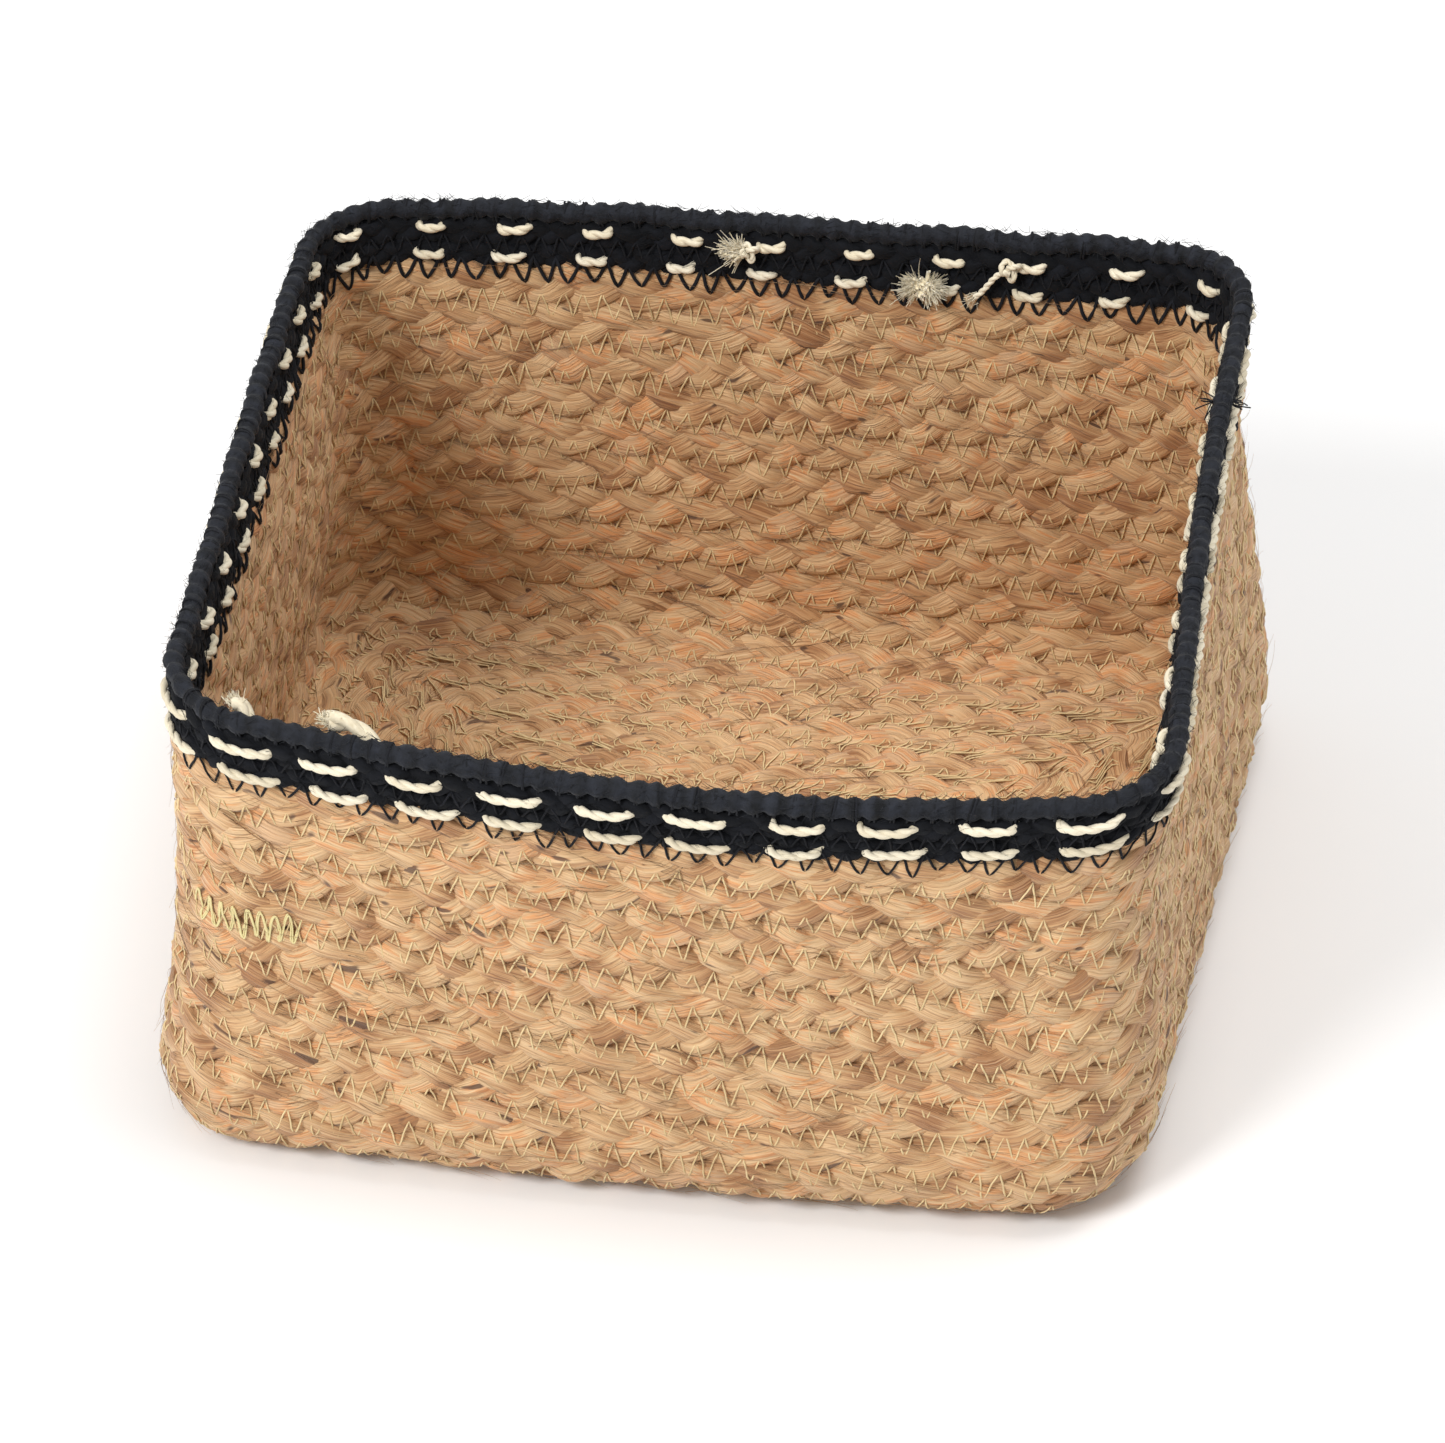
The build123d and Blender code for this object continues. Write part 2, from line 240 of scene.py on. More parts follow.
def turn_up_ring(tilt):
    """A course on the rounded edge between floor and wall."""
    wall_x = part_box(WALL_NAMES[2])[1][0] - THICKNESS / 2
    bend = wall_x - FLOOR_HIGH[0]
    angle = math.radians(tilt)
    half_x = FLOOR_HIGH[0] + bend * math.sin(angle)
    half_y = FLOOR_HIGH[1] + bend * math.sin(angle)
    height = THICKNESS / 2 + bend * (1 - math.cos(angle))
    return Ring(half_x, half_y, half_x - CORE_X, height, tilt)


def floor_ring(index):
    """The middle line of a flat course, halfway between its outer and inner edge."""
    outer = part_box(FLOOR_NAMES[index])[1]
    inner_name = FLOOR_NAMES[index + 1] if index + 1 < len(FLOOR_NAMES) else "floor_centre_strip"
    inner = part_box(inner_name)[1]
    half_x = (outer[0] + inner[0]) / 2
    half_y = (outer[1] + inner[1]) / 2
    return Ring(half_x, half_y, min(FLOOR_CORNER, half_y - 0.001), THICKNESS / 2, 0)


# ---- tubes ----

def unit(vectors, least=0.0):
    return vectors / (np.linalg.norm(vectors, axis=1, keepdims=True) + least)


def lengths_along(path):
    steps = np.linalg.norm(np.diff(path, axis=0), axis=1)
    return np.concatenate([[0], np.cumsum(steps)])


class Tube:
    """A grid of points: one row of section points for each step along the tube."""

    def __init__(self, points, along, closed, tone, part=0.0):
        self.points = points
        self.along = along
        self.closed = closed
        self.tone = np.broadcast_to(tone, along.shape)
        self.part = part


def sweep_tube(path, side, width, height, sections, closed, tone, part=0.0, ridges=None, fullness=1.0):
    """A tube along a path. Side is the direction in which the section is wide."""
    if closed:
        forward = np.roll(path, -1, 0) - np.roll(path, 1, 0)
    else:
        forward = np.gradient(path, axis=0)
    forward = unit(forward, 1e-12)
    side = unit(side - forward * (side * forward).sum(1, keepdims=True), 1e-12)
    up = np.cross(side, forward)
    angle = 2 * math.pi * np.arange(sections) / sections
    round_x = np.sign(np.cos(angle)) * np.abs(np.cos(angle)) ** fullness
    round_y = np.sign(np.sin(angle)) * np.abs(np.sin(angle)) ** fullness
    scale = np.ones((len(path), sections)) if ridges is None else ridges
    wide = (np.broadcast_to(width, len(path))[:, None] * round_x * scale)[..., None]
    tall = (np.broadcast_to(height, len(path))[:, None] * round_y * scale)[..., None]
    points = path[:, None, :] + side[:, None, :] * wide + up[:, None, :] * tall
    return Tube(points, lengths_along(path), closed, tone, part)


def fibre(path, side, radius, sections, tone):
    """A round tube with open ends."""
    return sweep_tube(path, side, radius, radius, sections, False, tone)


def strip_layout(columns, along_total, around):
    """How many rows and columns a square sheet needs to hold all the tubes as strips."""
    rows = max(1, round(math.sqrt(along_total / max(around, 1e-6))))
    return rows, math.ceil(columns / rows)


def new_object(name, data):
    made = bpy.data.objects.new(name, data)
    bpy.context.scene.collection.objects.link(made)
    return made


def mesh_of(name, tubes, material):
    """One object from many tubes, with a UV map along the fibres and one for baking."""
    sections = tubes[0].points.shape[1]
    vertices = np.concatenate([tube.points.reshape(-1, 3) for tube in tubes])
    faces, fibre_uv, bake_columns, caps, tones = [], [], [], [], []
    start, column = 0, 0
    for number, tube in enumerate(tubes):
        rows = len(tube.points)
        columns = rows if tube.closed else rows - 1
        row = np.arange(columns)[:, None]
        turn = np.arange(sections)[None, :]
        next_row = (row + 1) % rows
        next_turn = (turn + 1) % sections
        quad = np.stack([row * sections + turn, next_row * sections + turn,
                         next_row * sections + next_turn, row * sections + next_turn], -1)
        faces.append(quad.reshape(-1, 4) + start)
        closing = tube.along[-1] + np.linalg.norm(tube.points[0].mean(0) - tube.points[-1].mean(0))
        ends = np.append(tube.along, closing)
        shape = (columns, sections)
        low = np.broadcast_to(ends[:columns, None], shape)
        high = np.broadcast_to(ends[1:columns + 1, None], shape)
        left = np.broadcast_to(turn / sections, shape)
        right = left + 1 / sections
        uv = np.stack([low, left, high, left, high, right, low, right], -1)
        uv = uv.reshape(-1, 4, 2) + np.array([1.37 * number + tube.part, 0])
        fibre_uv.append(uv)
        bake_columns.append(np.broadcast_to(row + column, shape).reshape(-1))
        if not tube.closed:
            caps.append(np.arange(sections)[::-1] + start)
            caps.append(np.arange(sections) + start + (rows - 1) * sections)
        tones.append(np.repeat(tube.tone, sections))
        start += rows * sections
        column += columns
    quads = np.concatenate(faces)
    uv = np.concatenate(fibre_uv)
    column_of = np.concatenate(bake_columns)
    around = np.linalg.norm(np.diff(tubes[0].points[0], axis=0), axis=1).sum()
    total = sum(tube.along[-1] for tube in tubes)
    rows, per_row = strip_layout(column, total, around)
    turn_of = np.tile(np.arange(sections), len(quads) // sections)
    bake = np.zeros_like(uv)
    u_low = (column_of % per_row) / per_row
    v_low = (column_of // per_row + 0.04 + 0.92 * turn_of / sections) / rows
    v_high = v_low + 0.92 / sections / rows
    u_high = u_low + 1 / per_row
    bake[..., 0] = np.stack([u_low, u_high, u_high, u_low], -1)
    bake[..., 1] = np.stack([v_low, v_low, v_high, v_high], -1)

    cap_count = len(caps)
    loops = np.concatenate([quads.reshape(-1)] + caps)
    totals = np.concatenate([np.full(len(quads), 4), np.full(cap_count, sections)])
    starts = np.concatenate([[0], np.cumsum(totals)[:-1]])
    mesh = bpy.data.meshes.new(name)
    mesh.vertices.add(len(vertices))
    mesh.vertices.foreach_set("co", settle(vertices).reshape(-1))
    mesh.loops.add(len(loops))
    mesh.loops.foreach_set("vertex_index", loops.astype(np.int32))
    mesh.polygons.add(len(totals))
    mesh.polygons.foreach_set("loop_start", starts.astype(np.int32))
    mesh.polygons.foreach_set("loop_total", totals.astype(np.int32))
    mesh.polygons.foreach_set("use_smooth", np.ones(len(totals), dtype=bool))
    mesh.update(calc_edges=True)
    pad = np.full((cap_count * sections, 2), 0.001)
    for layer_name, values in (("fibre", uv), ("OFBake", bake)):
        layer = mesh.uv_layers.new(name=layer_name)
        layer.data.foreach_set("uv", np.concatenate([values.reshape(-1, 2), pad]).reshape(-1))
    tone = mesh.attributes.new("tone", "FLOAT", "POINT")
    tone.data.foreach_set("value", np.concatenate(tones).astype(np.float32))
    mesh.validate()
    mesh.materials.append(material)
    return new_object(name, mesh)


# ---- braids ----

class Braid:
    """A flat three-strand plait on a ring, and the height of its two faces."""

    def __init__(self, ring, width, thickness, period, seed, shaggy, packing=JUTE_PACKING):
        self.ring = ring
        self.width = width
        self.thickness = thickness
        self.packing = packing
        count = int(ring.length / SAMPLE_STEP)
        along = np.arange(count) * ring.length / count
        self.stations = ring.stations(along)
        chance = np.random.default_rng(seed)
        turns = max(2, round(ring.length / (period * chance.uniform(0.78, 1.25))))
        half_width = width * STRAND_WIDTH
        half_height = thickness * STRAND_HEIGHT
        swing = width / 2 - half_width * 0.84
        rise = thickness / 2 - half_height
        phase = 2 * math.pi * turns * along / ring.length
        phase = phase + 0.35 * wander(along, ring.length, turns, seed + 1)
        self.spread = np.ones_like(along)
        if ring.tilt == 0:
            self.spread += CORNER_SPREAD * ring.nearness(along, CORNER_REACH)
        self.tubes = []
        cells = (max(8, int(ring.length / CELL_LENGTH)), CELLS_ACROSS)
        self.faces = {face: np.zeros(cells) for face in (1, -1)}
        for strand in range(3):
            self._strand(strand, along, phase, swing, rise, half_width, half_height,
                         seed + 10 * strand, shaggy, turns)
        self.faces = {face: self._fill(grid) for face, grid in self.faces.items()}
        self._core(along, chance)

    def _strand(self, strand, along, phase, swing, rise, half_width, half_height, seed, shaggy, turns):
        ring = self.ring
        length = ring.length
        angle = phase + 2 * math.pi * strand / 3
        lateral = swing * np.cos(angle) + shaggy * 0.0005 * wander(along, length, turns * 2, seed + 2)
        lateral = lateral * self.spread
        depth = rise * np.sin(2 * angle) + shaggy * 0.0003 * wander(along, length, turns * 2, seed + 3)
        path = ring.place(self.stations, lateral, depth)
        faces_out = ring.normal(self.stations, 1)
        forward = np.roll(path, -1, 0) - np.roll(path, 1, 0)
        side = np.cross(faces_out, forward)
        wide = half_width * self.spread * (1 + shaggy * 0.16 * wander(along, length, turns * 3, seed + 4))
        tall = half_height * (1 + shaggy * 0.14 * wander(along, length, turns * 3, seed + 5))
        turn = 2 * math.pi * np.arange(STRAND_POINTS) / STRAND_POINTS
        twist = 2 * math.pi * along[:, None] * turns / length
        ridges = 1 + shaggy * (0.045 * np.sin(5 * turn + twist + 3 * np.sin(twist * 0.7 + seed))
                               + 0.03 * np.sin(9 * turn - 1.7 * twist + seed))
        ridges += shaggy * 0.03 * np.random.default_rng(seed + 6).standard_normal(ridges.shape)
        chance = np.random.default_rng(seed + 7)
        tone = chance.uniform(0.32, 0.62) + 0.34 * wander(along, length, max(4, turns * 2), seed + 8)
        self.tubes.append(sweep_tube(path, side, wide, tall, STRAND_POINTS, True,
                                     np.clip(tone, 0, 1), strand * 0.41 + seed % 7, ridges, 0.8))
        self._record(lateral, depth, wide, tall, along)

    def _record(self, lateral, depth, wide, tall, along):
        """Notes how far this strand stands out of each face."""
        cells_along, cells_across = self.faces[1].shape
        row = (along / self.ring.length * cells_along).astype(int) % cells_along
        for share in np.linspace(-0.98, 0.98, 15):
            across = (lateral + wide * share) / self.width + 0.5
            column = np.clip((across * cells_across).astype(int), 0, cells_across - 1)
            bulge = tall * math.sqrt(1 - share * share)
            for face in (1, -1):
                np.maximum.at(self.faces[face], (row, column), depth * face + bulge)

    @staticmethod
    def _fill(grid):
        """Smooths the noted heights a little along the braid."""
        least = np.maximum(grid, np.maximum(np.roll(grid, 1, 0), np.roll(grid, -1, 0)) - 0.0006)
        return (least * 2 + np.roll(least, 1, 0) + np.roll(least, -1, 0)) / 4

    def _core(self, along, chance):
        """Packed fibres in the middle of the plait, hidden by the strands."""
        flat = np.zeros_like(along)
        path = self.ring.place(self.stations, flat, flat)
        side = self.ring.place(self.stations, flat + 0.001, flat) - path
        self.tubes.append(sweep_tube(path, side, self.width * self.packing * self.spread,
                                     self.thickness * PACKING_HEIGHT, STRAND_POINTS, True, 0.25,
                                     chance.random()))

    def height(self, stations, lateral, face):
        """How far the surface stands from the middle of the braid at these places."""
        cells_along, cells_across = self.faces[face].shape
        row = (self.ring.positions(stations) / self.ring.length * cells_along).astype(int) % cells_along
        column = np.clip(((lateral / self.width + 0.5) * cells_across).astype(int), 0, cells_across - 1)
        return self.faces[face][row, column]


def taut(heights):
    """A thread pulled tight bridges the hollows under it."""
    bridged = np.maximum(heights, (np.roll(heights, 1) + np.roll(heights, -1)) / 2)
    return np.maximum(bridged, (np.roll(bridged, 1) + np.roll(bridged, -1)) / 2)


def on_seam(below, above, stations, offset, face, lift):
    """Points at an offset above a crease, on the surface of the braid that is there."""
    on_lower = below.width / 2 - EDGE_OVERLAP / 2 + offset
    on_upper = -above.width / 2 + EDGE_OVERLAP / 2 + offset
    low_height = taut(below.height(stations, on_lower, face)) + lift
    high_height = taut(above.height(stations, on_upper, face)) + lift
    low_points = below.ring.place(stations, on_lower, low_height * face)
    high_points = above.ring.place(stations, on_upper, high_height * face)
    share = np.clip(offset / 0.002 + 0.5, 0, 1)[:, None]
    return low_points * (1 - share) + high_points * share


def zigzag(below, above, face, low, high, period, radius, seed, jitter=1.0):
    """A zigzag seam across a crease: taut legs over the braid, dipping in at each stitch."""
    chance = np.random.default_rng(seed)
    ring = above.ring if above.ring.length > below.ring.length else below.ring
    stitches = max(6, int(ring.length / period)) * 2
    corner = (np.arange(stitches) + chance.uniform(-0.22, 0.22, stitches) * jitter) / stitches
    ends = np.where(np.arange(stitches) % 2 == 0, low, high)
    ends = ends + chance.uniform(-1, 1, stitches) * 0.0007 * jitter
    part = np.arange(stitches * LEG_POINTS) / LEG_POINTS
    whole = part.astype(int)
    inside = part - whole
    next_corner = np.append(corner[1:], corner[0] + 1)
    positions = (corner[whole] * (1 - inside) + next_corner[whole] * inside) % 1 * ring.length
    offset = ends[whole] * (1 - inside) + np.append(ends[1:], ends[0])[whole] * inside
    dip = np.clip(1 - np.minimum(inside, 1 - inside) * LEG_POINTS / 1.2, 0, 1)
    stations = ring.stations(positions)
    surface = on_seam(below, above, stations, offset, face, radius * 0.9 + 0.0001)
    normal = above.ring.normal(stations, face)
    path = surface - normal * (dip * 0.0009)[:, None]
    tone = 0.5 + 0.3 * wander(positions, ring.length, 40, seed + 1)
    return sweep_tube(path, normal, radius, radius, 4, True, tone, seed % 5)


# ---- materials ----

def srgb(red, green, blue):
    """Screen colour numbers from 0 to 255 as linear colour."""
    channels = []
    for value in (red, green, blue):
        share = value / 255
        channels.append(share / 12.92 if share <= 0.04045 else ((share + 0.055) / 1.055) ** 2.4)
    return (*channels, 1.0)


class Shader:
    """A material under construction."""

    def __init__(self, name, roughness, sheen, specular):
        self.material = bpy.data.materials.new(name)
        self.material.use_nodes = True
        self.tree = self.material.node_tree
        self.surface = self.tree.nodes["Principled BSDF"]
        self.surface.inputs["Roughness"].default_value = roughness
        self.surface.inputs["Sheen Weight"].default_value = sheen
        self.surface.inputs["Sheen Roughness"].default_value = 0.5
        self.surface.inputs["Specular IOR Level"].default_value = specular

    def node(self, kind, **settings):
        made = self.tree.nodes.new(kind)
        for key, value in settings.items():
            setattr(made, key, value)
        return made

    def link(self, source, target):
        self.tree.links.new(source, target)

    def fibres(self, along, around, detail=3.0, offset=0.0):
        """Noise drawn out along the fibres: so many cells a metre, and so many round the strand."""
        place = self.node("ShaderNodeUVMap", uv_map="fibre")
        scale = self.node("ShaderNodeMapping")
        scale.inputs["Scale"].default_value = (along, around, 1)
        scale.inputs["Location"].default_value = (offset, offset, 0)
        noise = self.node("ShaderNodeTexNoise")
        noise.inputs["Scale"].default_value = 1.0
        noise.inputs["Detail"].default_value = detail
        noise.inputs["Roughness"].default_value = 0.6
        self.link(place.outputs["UV"], scale.inputs["Vector"])
        self.link(scale.outputs["Vector"], noise.inputs["Vector"])
        return noise.outputs["Fac"]

    def math(self, operation, first, second):
        made = self.node("ShaderNodeMath", operation=operation)
        for socket, value in zip(made.inputs, (first, second)):
            if isinstance(value, (int, float)):
                socket.default_value = value
            else:
                self.link(value, socket)
        return made.outputs[0]

    def ramp(self, value, stops):
        made = self.node("ShaderNodeValToRGB")
        ramp = made.color_ramp
        while len(ramp.elements) < len(stops):
            ramp.elements.new(0.5)
        for element, (position, colour) in zip(ramp.elements, stops):
            element.position = position
            element.color = colour
        self.link(value, made.inputs["Fac"])
        return made.outputs["Color"]

    def mix(self, factor, first, second):
        """Blends from a linked colour to a plain one."""
        made = self.node("ShaderNodeMix", data_type="RGBA")
        made.inputs["B"].default_value = second
        self.link(factor, made.inputs["Factor"])
        self.link(first, made.inputs["A"])
        return made.outputs["Result"]

    def tone(self):
        return self.node("ShaderNodeAttribute", attribute_name="tone").outputs["Fac"]

    def bump(self, height, distance, strength=1.0):
        made = self.node("ShaderNodeBump")
        made.inputs["Distance"].default_value = distance
        made.inputs["Strength"].default_value = strength
        self.link(height, made.inputs["Height"])
        self.link(made.outputs["Normal"], self.surface.inputs["Normal"])


def jute_material():
    """Raw jute: straw, tan and orange strands with fine fibres and a few dark flecks, with painted shade
    and painted highlights on the fine fibres.
    """
    shader = Shader("jute_fibre", 0.62, 0.15, 0.3)
    broad = shader.fibres(55, 9)
    fine = shader.fibres(32, 30, offset=3.1)
    hair = shader.fibres(45, 74, offset=7.7)
    mixed = shader.math("ADD", shader.tone(), shader.math("SUBTRACT", broad, 0.5))
    mixed = shader.math("ADD", mixed, shader.math("SUBTRACT", fine, 0.5))
    colour = shader.ramp(mixed, [
        (0.0, srgb(168, 120, 78)),
        (0.20, srgb(196, 150, 104)),
        (0.42, srgb(212, 172, 125)),
        (0.60, srgb(221, 186, 141)),
        (0.76, srgb(219, 154, 98)),
        (0.92, srgb(212, 172, 130)),
    ])
    dark = shader.ramp(shader.fibres(60, 5, 2.0, 11.3), [(0.655, (0, 0, 0, 1)), (0.695, (1, 1, 1, 1))])
    # Mask of the fibre streaks that get a painted highlight.
    light = shader.ramp(hair, [(0.56, (0, 0, 0, 1)), (0.70, (1, 1, 1, 1))])
    shadow = shader.ramp(hair, [(0.30, srgb(166, 130, 102)), (0.50, (1, 1, 1, 1))])
    shaded = shader.node("ShaderNodeMix", data_type="RGBA", blend_type="MULTIPLY")
    shaded.inputs["Factor"].default_value = 0.8
    shader.link(colour, shaded.inputs["A"])
    shader.link(shadow, shaded.inputs["B"])
    # Painted highlight: the colour is lightened toward pale straw on those fibre streaks.
    painted_highlight_mix = shader.mix(shader.math("MULTIPLY", light, 0.34), shaded.outputs["Result"],
                        srgb(244, 218, 180))
    flecked = shader.mix(shader.math("MULTIPLY", dark, 0.85), painted_highlight_mix, srgb(82, 56, 42))
    shader.link(flecked, shader.surface.inputs["Base Color"])
    height = shader.math("ADD", shader.math("MULTIPLY", fine, 0.8), shader.math("MULTIPLY", hair, 0.5))
    shader.bump(height, 0.0012, 0.9)
    return shader.material


def yarn_material(name, dark, light, roughness, sheen, bump):
    """Spun yarn or thread: two shades of one colour and fine fibres."""
    shader = Shader(name, roughness, sheen, 0.25)
    fine = shader.fibres(600, 9)
    mixed = shader.math("ADD", shader.math("MULTIPLY", shader.tone(), 0.4),
                        shader.math("MULTIPLY", fine, 0.6))
    colour = shader.ramp(mixed, [(0.25, srgb(*dark)), (0.75, srgb(*light))])
    shader.link(colour, shader.surface.inputs["Base Color"])
    shader.bump(fine, bump, 0.8)
    return shader.material


# ---- the pieces ----

def add_piece(name, tubes, material, slot_name, *nodes):
    """Makes a piece and puts it on the basket, in place of its CAD nodes if it has any."""
    piece = mesh_of(name, tubes, material)
    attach(piece, "root")
    if nodes:
        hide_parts(*nodes)


def natural_braids(material):
    """All the jute courses, outermost floor course first."""
    floor = []
    for index, name in enumerate(FLOOR_NAMES):
        ring = floor_ring(index)
        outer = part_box(name)[1]
        width = 2 * (outer[0] - ring.core[0] - ring.radius) + EDGE_OVERLAP
        braid = Braid(ring, width, THICKNESS, PLAIT_PERIOD * 0.95, 100 + 7 * index, 1.0)
        add_piece(name + "_jute", braid.tubes, material, "jute_braid", name)
        floor.append(braid)
    wall = []
    for index, name in enumerate(WALL_NAMES):
        if index < 2:
            ring = turn_up_ring(22.5 + 45 * index)
            width = TURN_UP_WIDTH + EDGE_OVERLAP
        else:
            ring = wall_ring(name, THICKNESS)
            low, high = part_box(name)
            width = high[2] - low[2] - 0.0003 + EDGE_OVERLAP
        braid = Braid(ring, width, THICKNESS * 1.04, PLAIT_PERIOD, 300 + 7 * index, 1.0)
        add_piece(name + "_jute", braid.tubes, material, "jute_braid", name)
        wall.append(braid)
    return floor, wall


def centre_strip(material):
    """The start of the coil: a short straight stretch of braid in the middle of the floor."""
    low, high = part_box("floor_centre_strip")
    half_length = high[0]
    count = 40
    x = np.linspace(-half_length + 0.0025, half_length - 0.0025, count)
    tubes = []
    width = high[1] - low[1]
    half_width = width * STRIP_STRAND_WIDTH
    swing = width / 2 - half_width
    for strand in range(3):
        angle = 2 * math.pi * (x / PLAIT_PERIOD + strand / 3)
        taper = np.clip((half_length - np.abs(x)) / 0.006, 0.35, 1)
        path = np.stack([x, swing * np.cos(angle) * taper,
                         THICKNESS / 2 + 0.0016 * np.sin(2 * angle)], -1)
        side = np.cross([0, 0, 1.0], np.gradient(path, axis=0))
        tubes.append(sweep_tube(path, side, half_width * taper, THICKNESS * PACKING_HEIGHT * taper,
                                STRAND_POINTS, False, 0.5, strand))
    add_piece("floor_centre_strip_jute", tubes, material, "jute_braid", "floor_centre_strip")


def black_braids(material):
    """The two braids of the rim band."""
    made = []
    for index, name in enumerate(("rim_braid_lower", "rim_braid_upper")):
        low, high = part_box(name)
        ring = wall_ring(name, BLACK_THICKNESS)
        width = high[2] - low[2] + BLACK_OVERLAP
        braid = Braid(ring, width, BLACK_THICKNESS * 1.05, BLACK_PERIOD, 700 + 9 * index, 0.8,
                      packing=BLACK_PACKING)
        add_piece(name + "_yarn", braid.tubes, material, "black_braid", name)
        made.append(braid)
    return made


def seam_threads(floor, wall, material):
    """Straw-coloured zigzags in every crease, on both faces."""
    ladder = floor[::-1] + wall
    turn_up = len(floor) - 1
    wall_top = len(ladder) - 1
    third = (wall_top - turn_up) // 3
    groups = [("floor_seam_threads", 0, turn_up, FLOOR_SEAMS),
              ("wall_seam_threads_low", turn_up, turn_up + third,
               ["turn_up_seam"] + WALL_SEAMS[:third - 1]),
              ("wall_seam_threads_middle", turn_up + third, turn_up + 2 * third,
               WALL_SEAMS[third - 1:2 * third - 1]),
              ("wall_seam_threads_high", turn_up + 2 * third, wall_top, WALL_SEAMS[2 * third - 1:])]
    for name, first, last, nodes in groups:
        tubes = []
        for index in range(first, last):
            for face in (1, -1):
                tubes.append(zigzag(ladder[index], ladder[index + 1], face, STITCH_LOW, STITCH_HIGH,
                                    STITCH_PERIOD, THREAD_RADIUS, 900 + 2 * index + face))
        add_piece(name, tubes, material, "natural_thread", *nodes)


def join_thread(top_course, band, material):
    """Black V-shaped loops that hang from the band over the top jute course."""
    tubes = [zigzag(top_course, band[0], 1, low=-0.0046, high=0.0026, period=0.0076,
                    radius=0.00040, seed=1203, jitter=1.3),
             zigzag(top_course, band[0], -1, low=-0.0046, high=0.0022, period=0.0074,
                    radius=0.00058, seed=1200, jitter=1.1)]
    add_piece("rim_join_threads", tubes, material, "black_thread", "rim_join_seam")
    between = [zigzag(band[0], band[1], face, low=-0.002, high=0.002, period=0.006,
                      radius=0.0003, seed=1240 + face)
               for face in (1, -1)]
    add_piece("rim_braid_seam_threads", between, material, "black_thread", "rim_braid_seam")


def edge_cord(material, thread):
    """The round cord on top, pinched into beads by its overcast thread."""
    low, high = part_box("rim_edge_cord")
    radius = (high[2] - low[2]) / 2
    half_x, half_y = high[0] - radius, high[1] - radius
    ring = Ring(half_x, half_y, half_x - CORE_X, (low[2] + high[2]) / 2, 90)
    count = int(ring.length / 0.0007)
    along = np.arange(count) * ring.length / count
    beads = round(ring.length / BEAD_SPACING)
    phase = beads * along / ring.length + 0.10 * wander(along, ring.length, beads // 2, 1300)
    pinch = np.abs(np.cos(math.pi * phase)) ** 3
    swell = radius * (1.06 - 0.27 * pinch + 0.06 * wander(along, ring.length, beads, 1301))
    stations = ring.stations(along)
    drift = 0.0004 * wander(along, ring.length, 30, 1302)
    path = ring.place(stations, drift, drift * 0.6)
    turn = 2 * math.pi * np.arange(CORD_POINTS) / CORD_POINTS
    ridges = 1 + 0.03 * np.sin(7 * turn[None, :] + along[:, None] * 700)
    ridges += 0.02 * np.random.default_rng(1304).standard_normal(ridges.shape)
    side = ring.normal(stations, 1)
    cord = sweep_tube(path, side, swell, swell, CORD_POINTS, True,
                      0.5 + 0.3 * wander(along, ring.length, beads, 1303), 0.0, ridges)
    add_piece("rim_edge_cord_yarn", [cord], material, "rim_cord", "rim_edge_cord")

    wraps = []
    chance = np.random.default_rng(1310)
    for bead in range(beads):
        for strand in range(2):
            middle = (bead + 0.5 + chance.uniform(-0.06, 0.06) + 0.09 * strand) / beads * ring.length
            angle = np.radians(np.linspace(-50, 232, 15))
            skew = chance.uniform(-0.0012, 0.0012)
            positions = (middle + skew * np.linspace(-1, 1, 15)) % ring.length
            reach = radius * 0.90 * (1 + 0.10 * np.abs(np.sin(angle)))
            lateral = reach * np.sin(angle) - np.where(np.sin(angle) < -0.3, 0.001, 0)
            depth = reach * np.cos(angle)
            where = ring.stations(positions)
            loop = ring.place(where, lateral, depth)
            _, outward = ring.plan(where)
            tangent = np.stack([-outward[:, 1], outward[:, 0], np.zeros(len(where))], -1)
            wraps.append(sweep_tube(loop, tangent, 0.00034, 0.00030, 5, False, chance.random()))
    add_piece("rim_overcast_threads", wraps, thread, "black_thread", "rim_overcast_thread")
    cord_fuzz(ring, radius, material)


def cord_fuzz(ring, radius, material):
    """Short loose hairs all over the edge cord."""
    chance = np.random.default_rng(1320)
    tubes = []
    for _ in range(2600):
        share = np.linspace(0, 1, 5)
        start = chance.random() * ring.length
        positions = (start + share * chance.uniform(-0.005, 0.005)) % ring.length
        angle = math.radians(chance.uniform(-35, 215)) + share * chance.uniform(-0.6, 0.6)
        reach = radius * 0.98 + chance.uniform(0.0003, 0.0022) * share ** 1.5
        where = ring.stations(positions)
        path = ring.place(where, reach * np.sin(angle), reach * np.cos(angle))
        thin = 0.00011 * (1 - 0.6 * share)
        tubes.append(fibre(path, ring.normal(where, 1), thin, 3, chance.random()))
    add_piece("rim_edge_cord_hairs", tubes, material, "rim_cord")


def plied(path, normal, ply_radius, turns_per_metre, phase, swell=None):
    """Yarn of two twisted plies along an open path."""
    forward = unit(np.gradient(path, axis=0))
    side = unit(np.cross(normal, forward))
    up = np.cross(forward, side)
    along = lengths_along(path)
    size = np.ones(len(path)) if swell is None else swell
    tubes = []
    for ply in range(2):
        angle = 2 * math.pi * (along * turns_per_metre + ply / 2) + phase
        offset = side * np.cos(angle)[:, None] + up * np.sin(angle)[:, None]
        centre = path + offset * (ply_radius * 0.55 * size)[:, None]
        tubes.append(fibre(centre, side, ply_radius * size, 8, 0.55 + 0.25 * math.sin(phase * 7 + ply)))
    return tubes


